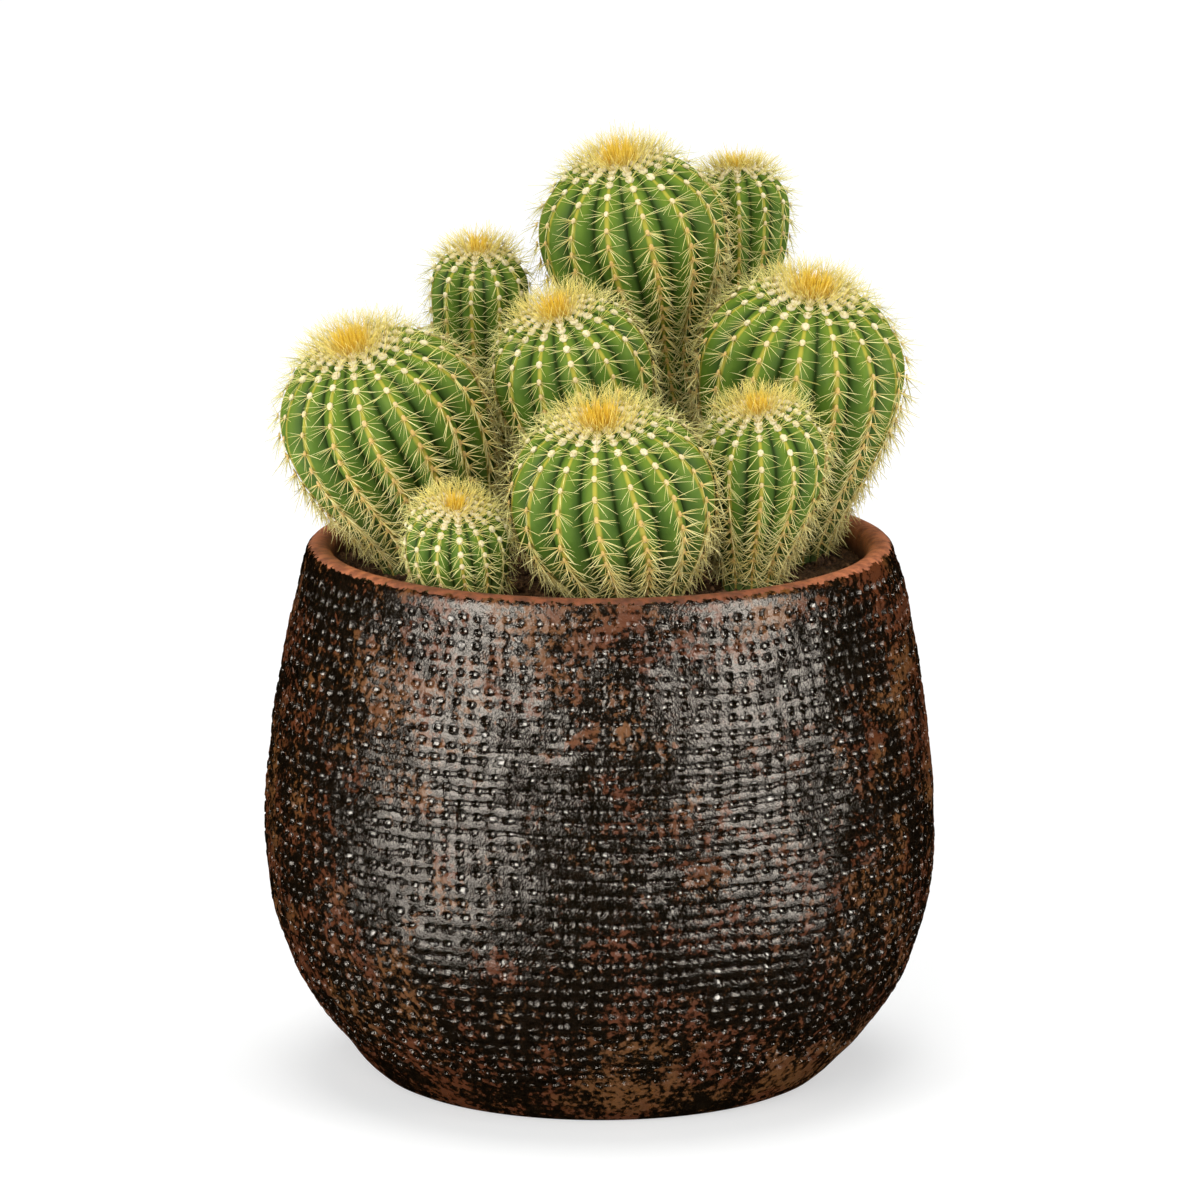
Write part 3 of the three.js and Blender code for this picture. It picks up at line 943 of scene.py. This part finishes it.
def press_pits(piece, ring, column, places):
    """Moves the corners of the outer wall, and tells on whose rim each of them is."""
    on_outside = (ring >= 0) & (ring < len(wall_rings))
    first = len(foot_rings)
    stamped = (ring >= first) & (ring < first + len(pit_rings))
    row, ring_part = np.divmod(np.where(stamped, ring - first, 0), 4)
    pit, column_part = np.divmod(column, 4)
    around = np.where(stamped, pit + 0.5 + PIT_COLUMNS[column_part], column / 4)
    run = wall_rings[np.clip(ring, 0, len(wall_rings) - 1)]
    on_rim_ring, on_rim_column = np.isin(ring_part, (0, 3)), np.isin(column_part, (0, 3))
    bottom = stamped & ~on_rim_ring & ~on_rim_column
    size, high, depth, filled, slip = pit_chances(row, pit)
    drawn_in = np.where(stamped & on_rim_ring & on_rim_column, CORNER_SHARE, 1)
    drawn_in = np.where(bottom, BOWL_SHARE, drawn_in)
    across = PIT_COLUMNS[column_part] * size * drawn_in + slip[0]
    upward = PIT_RINGS[ring_part] * high * drawn_in + slip[1] * PIT_PITCH
    turn = np.where(stamped, pit + 0.5 + across, around) / PITS_ROUND
    moved_run = np.where(stamped, pit_rows[row] + upward, run)
    fade = smoothstep(run, 12, 30) * (1 - smoothstep(run, wall_run[-1] - 12, wall_run[-1] - 4))
    moved_run = moved_run + 1.1 * fade * unevenness(places, 110, 1)
    turn = turn + 2.3 * fade * unevenness(places, 85, 2) / (math.tau * BELLY_RADIUS)
    far = np.abs(places[:, 2] - GROOVES_AT) / GROOVES_REACH
    banded = smoothstep(unevenness(places, 140, 3) + 0.9 - far, 0, 0.8)
    ridge = np.where(on_rim_ring, 0.6, -0.4) * GROOVE_DEPTH * (0.3 + banded)
    out = fade * (0.55 * unevenness(places, 38, 4) + 0.9 * unevenness(places, 120, 5))
    out += np.where(stamped, ridge + chance.normal(0, 0.12, len(places)), 0)
    out -= np.where(bottom & ~filled, depth * chance.uniform(0.8, 1.2, len(places)), 0)
    flat, way = on_wall(moved_run)
    flat = flat + way * out[:, None]
    moved = np.stack((flat[:, 0] * np.cos(turn * math.tau), flat[:, 0] * np.sin(turn * math.tau),
                      flat[:, 1]), axis=1)
    move_points(piece, np.where(on_outside[:, None], moved, places) * MM)
    in_rows = on_outside & (run < pit_rings[-1] + 0.1)
    note(piece, "stamped", smoothstep(run, pit_rows[0] - 6, pit_rows[0]) * in_rows)
    note(piece, "bare", np.where(on_outside, run - wall_run[-1] - GLAZE_LINE, over_lip(ring)))
    unroll(piece, around, (run - pit_rows[0]) / PIT_PITCH + 0.5)
    return np.where(stamped & ~bottom, row * PITS_ROUND + pit, -1)


def over_lip(ring):
    """Millimetres past the edge of the glaze, for the corners of the lip and the inside."""
    beyond = ring - len(wall_rings) + 1
    on_rounding = (beyond > 0) & (beyond < LIP_STEPS)
    run = LIP_ROUNDING * math.pi / 2 * beyond / (LIP_STEPS - 1)
    return np.where(on_rounding, run - GLAZE_LINE, np.where(ring < 0, FAR_OUTSIDE, FAR_INSIDE))


def unroll(piece, around, rows):
    """A UV map that counts pits round the pot and rows up it, closed where the last pit ends."""
    mesh = piece.data
    corners = read(mesh.loops, "vertex_index", int)
    starts = read(mesh.polygons, "loop_start", int)
    u = around[corners]
    highest = np.maximum.reduceat(u, starts)
    face = np.repeat(np.arange(len(starts)), np.diff(np.append(starts, len(corners))))
    u = np.where(highest[face] - u > PITS_ROUND / 2, u + PITS_ROUND, u)
    grid = mesh.uv_layers.new(name="pits")
    grid.uv.foreach_set("vector", np.stack((u, rows[corners]), axis=1).ravel())


def sharpen_rims(piece, which):
    """Keeps the edge of each pit crisp, so that the land between pits stays flat to the light."""
    low, high = read(piece.data.edges, "vertices", int, 2).T
    crisp = read(piece.data.edges, "use_edge_sharp", bool)
    crisp |= (which[low] >= 0) & (which[low] == which[high])
    piece.data.edges.foreach_set("use_edge_sharp", crisp)


rim_of_corner = press_pits(pot, *ring_and_column(pot))
shade(pot, 75)
sharpen_rims(pot, rim_of_corner)
print("the pot is now", [round(n * 1000, 1) for n in pot.dimensions], "mm")

# %% [markdown]
# ## Soil
#
# A peaty mix fills the pot to 13 mm below the rim, with coarse crumbs on it. A fine displaced
# plane would need far more faces, so its top is a grid filled into the last ring and raised into
# lumps, and the crumbs are one small stone, copied at many sizes and lying at random.

# %% The filling of the pot
SOIL_SIDE = [(98.6, 14.3), (125.6, 42), (141.6, 76), (147.1, 118), (142.6, 170), (129.6, 236),
             (128.1, 247)]
SOIL_SIDES = 160


def model_soil():
    soil = start_disc(SOIL_SIDES, SOIL_SIDE[0][0] * MM, SOIL_SIDE[0][1] * MM)
    for (radius, height), (next_radius, next_height) in zip(SOIL_SIDE, SOIL_SIDE[1:]):
        extrude((next_height - height) * MM)
        narrow(next_radius / radius)
    bpy.ops.mesh.delete(type="ONLY_FACE")
    pick(soil, lambda place: place.z > (SOIL_SIDE[-1][1] - 0.1) * MM)
    bpy.ops.mesh.fill_grid(span=SOIL_SIDES // 4)
    bpy.ops.mesh.subdivide(number_cuts=2)
    let_go()
    soil.name = soil.data.name = "peat"
    return soil


def raise_lumps(soil):
    places = points_of(soil) / MM
    top = smoothstep(places[:, 2], SOIL_SIDE[-1][1] - 1, SOIL_SIDE[-1][1])
    lumps = (1.0 * unevenness(places, 30, 11) + 1.0 * unevenness(places, 11, 12)
             + 0.7 * unevenness(places, 5.5, 13) + chance.normal(0, 0.25, len(places)))
    places[:, 2] += top * (lumps + SOIL_LEVEL - SOIL_SIDE[-1][1])
    move_points(soil, places * MM)


soil = model_soil()
raise_lumps(soil)
shade(soil, 60)
print("the soil has", len(soil.data.polygons), "faces")


# %% Crumbs on the soil
CRUMBS, CRUMB_REACH = 1500, 125 * MM


def model_crumb():
    """A lump with twenty faces, knocked out of its even shape."""
    let_go()
    bpy.ops.mesh.primitive_ico_sphere_add(subdivisions=1, radius=0.5)
    crumb = opened()
    pick(crumb, lambda place: place.x > 0.1)
    shift(0.12, -0.08, 0.05)
    pick(crumb, lambda place: place.z > 0.2)
    bpy.ops.transform.resize(value=(0.7, 0.85, 0.8))
    return taken(crumb)


def crumbs_on_soil(count):
    far = CRUMB_REACH * np.sqrt(chance.uniform(0, 1, count))
    angle = chance.uniform(0, math.tau, count)
    sizes = np.exp(chance.normal(0.75, 0.45, count)) * MM
    height = SOIL_LEVEL * MM + 0.15 * sizes + chance.normal(0.4, 0.4, count) * MM
    places = np.stack((far * np.cos(angle), far * np.sin(angle), height), axis=1)
    ways = unit(chance.normal(size=(count, 3)))
    stretch = chance.uniform(0.6, 1.4, (count, 3))
    piece = copies("peat_crumbs", model_crumb(), places, needle_frames(ways),
                   sizes[:, None] * stretch, {"tone": chance.uniform(0, 1, count)})
    shade(piece, 25)
    return piece


crumbs = crumbs_on_soil(CRUMBS)
print("crumb faces:", len(crumbs.data.polygons))

# %% [markdown]
# ## Finishes
#
# Two effects are used in more than one finish, so each is a node group: soft-edged patches of a
# chosen size, for mottling, worn glaze and damp, and a fine grain for the bump of felt, clay and
# soil. Everything else stays in the material that needs it.

# %% Laying out nodes
class Nodes:
    """A node tree, with a short word for each node that more than one effect uses."""

    def __init__(self, tree):
        self.tree = tree

    def fill(self, socket, value):
        """Links another node's output to a socket, or writes a number or a colour in it."""
        if isinstance(value, bpy.types.NodeSocket):
            self.tree.links.new(value, socket)
        else:
            socket.default_value = (*value, 1) if socket.type == "RGBA" else value

    def lay(self, kind, values=None, **settings):
        made = self.tree.nodes.new(kind)
        for key, value in settings.items():
            setattr(made, key, value)
        for key, value in (values or {}).items():
            self.fill(made.inputs[key], value)
        return made

    def blend(self, share, first, second):
        """A colour between two colours."""
        return self.lay("ShaderNodeMix", {0: share, 6: first, 7: second},
                        data_type="RGBA").outputs[2]

    def work(self, operation, *values):
        return self.lay("ShaderNodeMath", dict(enumerate(values)), operation=operation).outputs[0]

    def rescale(self, value, low, high, new_low=0.0, new_high=1.0):
        return self.lay("ShaderNodeMapRange",
                        {"Value": value, "From Min": low, "From Max": high,
                         "To Min": new_low, "To Max": new_high},
                        interpolation_type="SMOOTHSTEP").outputs[0]


# %% The shared effects
def new_group(name, inputs, output):
    """An empty node group with number inputs, and what is put into it."""
    group = bpy.data.node_groups.new(name, "ShaderNodeTree")
    group.interface.new_socket("Place", in_out="INPUT", socket_type="NodeSocketVector")
    for key in inputs:
        group.interface.new_socket(key, in_out="INPUT", socket_type="NodeSocketFloat")
    group.interface.new_socket(output, in_out="OUTPUT", socket_type="NodeSocketFloat")
    nodes = Nodes(group)
    return nodes, nodes.lay("NodeGroupInput").outputs


def make_patches():
    nodes, given = new_group("soft_patches", ("Scale", "Detail", "Low", "High"), "Mask")
    cloud = nodes.lay("ShaderNodeTexNoise", {"Vector": given["Place"], "Scale": given["Scale"],
                                             "Detail": given["Detail"], "Roughness": 0.6})
    mask = nodes.rescale(cloud.outputs[0], given["Low"], given["High"])
    nodes.lay("NodeGroupOutput", {"Mask": mask})
    return nodes.tree


def make_grain():
    nodes, given = new_group("fine_grain", ("Scale",), "Height")
    spot = {"Vector": given["Place"], "Scale": given["Scale"]}
    cloud = nodes.lay("ShaderNodeTexNoise", {**spot, "Detail": 4.0, "Roughness": 0.7})
    cells = nodes.lay("ShaderNodeTexVoronoi", spot)
    both = nodes.work("MULTIPLY_ADD", cells.outputs["Distance"], 0.5, cloud.outputs[0])
    nodes.lay("NodeGroupOutput", {"Height": both})
    return nodes.tree


patches_group = make_patches()
grain_group = make_grain()
print("groups:", [group.name for group in bpy.data.node_groups])


# %% What every finish has
class Finish(Nodes):
    """A material that reads its place in the object, the notes on the corners and the groups."""

    def __init__(self, name):
        self.material = bpy.data.materials.new(name)
        self.material.use_nodes = True
        super().__init__(self.material.node_tree)
        self.place = self.lay("ShaderNodeTexCoord").outputs["Object"]

    def noted(self, name):
        return self.lay("ShaderNodeAttribute", attribute_name=name).outputs["Fac"]

    def patches(self, scale, detail, low, high):
        return self.lay("ShaderNodeGroup", {"Place": self.place, "Scale": scale, "Detail": detail,
                                            "Low": low, "High": high},
                        node_tree=patches_group).outputs["Mask"]

    def grain(self, scale):
        return self.lay("ShaderNodeGroup", {"Place": self.place, "Scale": scale},
                        node_tree=grain_group).outputs["Height"]

    def set_shader(self, relief=None, **values):
        """Fills the shader's sockets; relief is a height, how strong it is and how deep."""
        shader = self.tree.nodes["Principled BSDF"]
        for key, value in values.items():
            self.fill(shader.inputs[key.replace("_", " ")], value)
        if relief:
            bump = self.lay("ShaderNodeBump", dict(zip(("Height", "Strength", "Distance"), relief)))
            self.fill(shader.inputs["Normal"], bump.outputs["Normal"])
        print("made", self.material.name)

# %% [markdown]
# ## The green skin
#
# The skin is fresh green on the flanks, yellowish along the crests and greyer near the soil, with
# painted shade that darkens the flanks towards the grooves and the grooves most of all. A painted
# texture could hold that, but the notes on the corners follow the ribs exactly. A thin wax keeps
# it half dull.

# %% Skin finish
waxy = Finish("waxy_green_skin")
crest, age = waxy.noted("crest"), waxy.noted("age")
green = waxy.blend(waxy.patches(70, 3, 0.35, 0.7), (0.072, 0.148, 0.014), (0.118, 0.212, 0.026))
green = waxy.blend(waxy.noted("young"), green, (0.135, 0.220, 0.024))
# painted shade: the flanks darken towards the grooves
green = waxy.blend(waxy.rescale(crest, 0.1, 0.7), (0.054, 0.114, 0.017), green)
green = waxy.blend(waxy.rescale(age, 0.45, 0.95), green, (0.095, 0.145, 0.040))
# painted shade: the grooves themselves are painted nearly black-green
green = waxy.blend(waxy.rescale(crest, 0, 0.25), (0.020, 0.042, 0.005), green)
straw = waxy.blend(age, (0.40, 0.38, 0.05), (0.48, 0.34, 0.07))
waxy.set_shader((waxy.grain(900), 0.12, 0.0006),
                Base_Color=waxy.blend(waxy.rescale(crest, 0.80, 0.96, 0, 0.9), green, straw),
                Roughness=waxy.rescale(waxy.patches(240, 2, 0.3, 0.7), 0, 1, 0.42, 0.58),
                Specular_IOR_Level=0.2, Subsurface_Weight=0.06, Subsurface_Scale=0.004,
                Subsurface_Radius=(0.5, 1.0, 0.2))

# %% [markdown]
# ## Spines and felt
#
# Living spines are pale yellow, those of the crown amber, and the oldest straw. Three materials
# would do, but one finish can read how golden and how old a spine is. The felt is cream with a
# beige middle on young areoles, and turns to straw on old ones.

# %% Spine finish
golden = Finish("golden_spines")
tone, age, along = golden.noted("tone"), golden.noted("age"), golden.noted("along")
fresh = golden.blend(tone, (0.64, 0.62, 0.17), (0.98, 0.95, 0.46))
straw = golden.blend(tone, (0.60, 0.51, 0.15), (0.99, 0.92, 0.46))
root = golden.blend(age, (0.72, 0.64, 0.22), (0.72, 0.52, 0.15))
aged = golden.blend(golden.rescale(along, 0, 0.4), root, golden.blend(age, fresh, straw))
amber = golden.blend(golden.rescale(along, 0, 1), (0.66, 0.37, 0.002), (0.90, 0.66, 0.06))
golden.set_shader(Base_Color=golden.blend(golden.noted("gold"), aged, amber), Roughness=0.5)

# %% Felt finish
woolly = Finish("woolly_felt")
cream = woolly.blend(woolly.noted("tone"), (0.80, 0.72, 0.44), (0.90, 0.83, 0.58))
aged = woolly.blend(woolly.rescale(woolly.noted("age"), 0, 0.6), cream, (0.68, 0.46, 0.13))
middle = woolly.rescale(woolly.noted("along"), 0.9, 1, 0, 0.6)
woolly.set_shader((woolly.grain(2500), 0.8, 0.0006), Roughness=0.95, Sheen_Weight=0.4,
                  Base_Color=woolly.blend(middle, aged, (0.66, 0.46, 0.28)))

# %% [markdown]
# ## Glazed clay
#
# A black glossy glaze lies broken over red-brown and ochre clay, most of all at the sides and the
# foot. It wrinkled as it melted, and pooled in the pits, where a smooth clear coat gives the
# sparks of light. It ends in a ragged edge below the bare terracotta lip. The lip has painted
# shade on its front, and painted shade that darkens it and the inner wall down towards the soil.
# One photo of it would not turn with the pot, so the pits follow a UV map that counts them, and
# the rest follows the place on the pot.

# %% The pits and the worn glaze
# where an edge of the pot begins and where it is full, in metres along x, y or z
TOP_EDGE, FOOT_EDGE, SIDE_EDGE = (0.236, 0.262), (0.060, 0.012), (0.105, 0.150)
# where the painted shade on the front of the lip, along y, and the painted shade down towards the
# soil, along z, begin and where they are full
FRONT_SHADE, INNER_SHADE = (-0.06, -0.13), (0.2475, 0.2575)

clay = Finish("stamped_clay")
grid = clay.lay("ShaderNodeMapping", {
    "Vector": clay.lay("ShaderNodeUVMap", uv_map="pits").outputs[0], "Location": (-0.35, -0.35, 0)})
cells = clay.lay("ShaderNodeTexVoronoi", {"Vector": grid.outputs[0], "Scale": 1.0,
                                          "Randomness": 0.3}, voronoi_dimensions="2D")
hole = clay.rescale(cells.outputs["Distance"], 0.38, 0.20)
rim = clay.rescale(cells.outputs["Distance"], 0.20, 0.40)
along_x, along_y, height = clay.lay("ShaderNodeSeparateXYZ", {0: clay.place}).outputs
large, medium, small = (clay.patches(scale, 3, 0.25, 0.75) for scale in (17, 75, 330))
edges = clay.work("MAXIMUM", clay.rescale(height, *TOP_EDGE), clay.rescale(height, *FOOT_EDGE))
sides = clay.rescale(clay.work("ABSOLUTE", along_x, 0), *SIDE_EDGE)
worn = clay.work("MULTIPLY", large, 0.36)
for part, share in ((medium, 0.38), (small, 0.46), (rim, 0.10),
                    (clay.work("MAXIMUM", edges, sides), 0.15)):
    worn = clay.work("MULTIPLY_ADD", part, share, worn)
worn = clay.rescale(worn, 0.76, 1.02)
print("the wall is worn to the clay in patches of three sizes")

# %% Colours of the clay
body = clay.blend(clay.patches(26, 2, 0.45, 0.62), (0.105, 0.029, 0.008), (0.140, 0.055, 0.014))
glaze = clay.blend(small, (0.003, 0.002, 0.001), (0.010, 0.006, 0.003))
belly = clay.blend(worn, glaze, body)
# painted shade: both tones of the lip are darker towards its front
front = clay.rescale(along_y, *FRONT_SHADE)
dull = clay.blend(front, (0.24, 0.068, 0.026), (0.080, 0.019, 0.005))
bright = clay.blend(front, (0.50, 0.160, 0.062), (0.200, 0.052, 0.014))
lip = clay.blend(clay.patches(150, 4, 0.35, 0.65), dull, bright)
# painted shade: the lip and the inner wall darken downwards towards the soil
lip = clay.blend(clay.rescale(height, *INNER_SHADE), (0.09, 0.030, 0.015), lip)
ragged = clay.work("MULTIPLY_ADD", clay.patches(260, 4, 0.3, 0.7), 3.0, -1.5)
bare = clay.rescale(clay.work("ADD", clay.noted("bare"), ragged), -0.25, 0.25)
print("the belly, the lip and the ragged edge between them have their colours")

# %% Clay finish
rough = clay.rescale(worn, 0, 1, 0.16, 0.32)
rough = clay.work("MULTIPLY_ADD", hole, -0.08, rough)
rough = clay.work("MULTIPLY_ADD", bare, 0.6, rough)
wrinkles = clay.lay("ShaderNodeTexNoise", {
    "Vector": clay.place, "Scale": 520.0, "Detail": 2.0, "Roughness": 0.6, "Distortion": 0.6},
    noise_type="RIDGED_MULTIFRACTAL").outputs[0]
glazed = clay.work("SUBTRACT", 1.0, bare)
pooled = clay.work("MULTIPLY", hole, clay.work("MULTIPLY", glazed, clay.noted("stamped")))
relief = clay.work("MULTIPLY", wrinkles, clay.work("MULTIPLY", glazed, 0.32))
relief = clay.work("MULTIPLY_ADD", pooled, -0.9, relief)
relief = clay.work("MULTIPLY_ADD", clay.grain(900), 0.18, relief)
clay.set_shader((relief, 1.0, 0.001), Base_Color=clay.blend(bare, belly, lip), Roughness=rough,
                Specular_IOR_Level=1.0, Specular_Tint=(1.0, 0.97, 0.94), IOR=1.68,
                Coat_Weight=clay.work("MULTIPLY", pooled, clay.patches(200, 2, 0.3, 0.65)),
                Coat_Roughness=0.06, Coat_IOR=2.0)

# %% Soil finish
peaty = Finish("peaty_soil")
bits = peaty.blend(peaty.patches(420, 4, 0.35, 0.68), (0.036, 0.019, 0.010), (0.23, 0.125, 0.062))
damp = peaty.work("MULTIPLY", peaty.patches(45, 2, 0.35, 0.65), 0.5)
peaty.set_shader((peaty.grain(900), 0.9, 0.001), Roughness=0.92,
                 Base_Color=peaty.blend(damp, bits, (0.03, 0.017, 0.01)))

# %% [markdown]
# ## Putting it together
#
# Each piece is given its finish and rides on the one body of the part, and the solid that it
# stands for is hidden. The floor stands apart from it, and is not part of the plant.

# %% Pieces and floor
def settle(piece, finish, slot, *nodes):
    piece.data.materials.clear()
    piece.data.materials.append(finish.material)
    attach(piece, "root")
    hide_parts(*nodes)


settle(pot, clay, "pot", "pot")
settle(soil, peaty, "soil", "soil")
settle(crumbs, peaty, "soil", "soil")
for head in heads:
    settle(skins[head.name], waxy, "skin", f"head_{head.name}")
    settle(cushions[head.name], woolly, "skin", f"head_{head.name}")
    settle(spines[head.name], golden, "skin", f"head_{head.name}")
    settle(crowns[head.name], golden, "spines", f"crown_{head.name}")

let_go()
bpy.ops.mesh.primitive_plane_add(size=24)
floor = bpy.context.object
floor.name = "floor"
floor.visible_glossy = False
pale = Finish("pale_floor")
pale.set_shader(Base_Color=(0.445, 0.472, 0.510), Roughness=0.8, Emission_Color=(1, 1, 1),
                Emission_Strength=0.53)
floor.data.materials.append(pale.material)
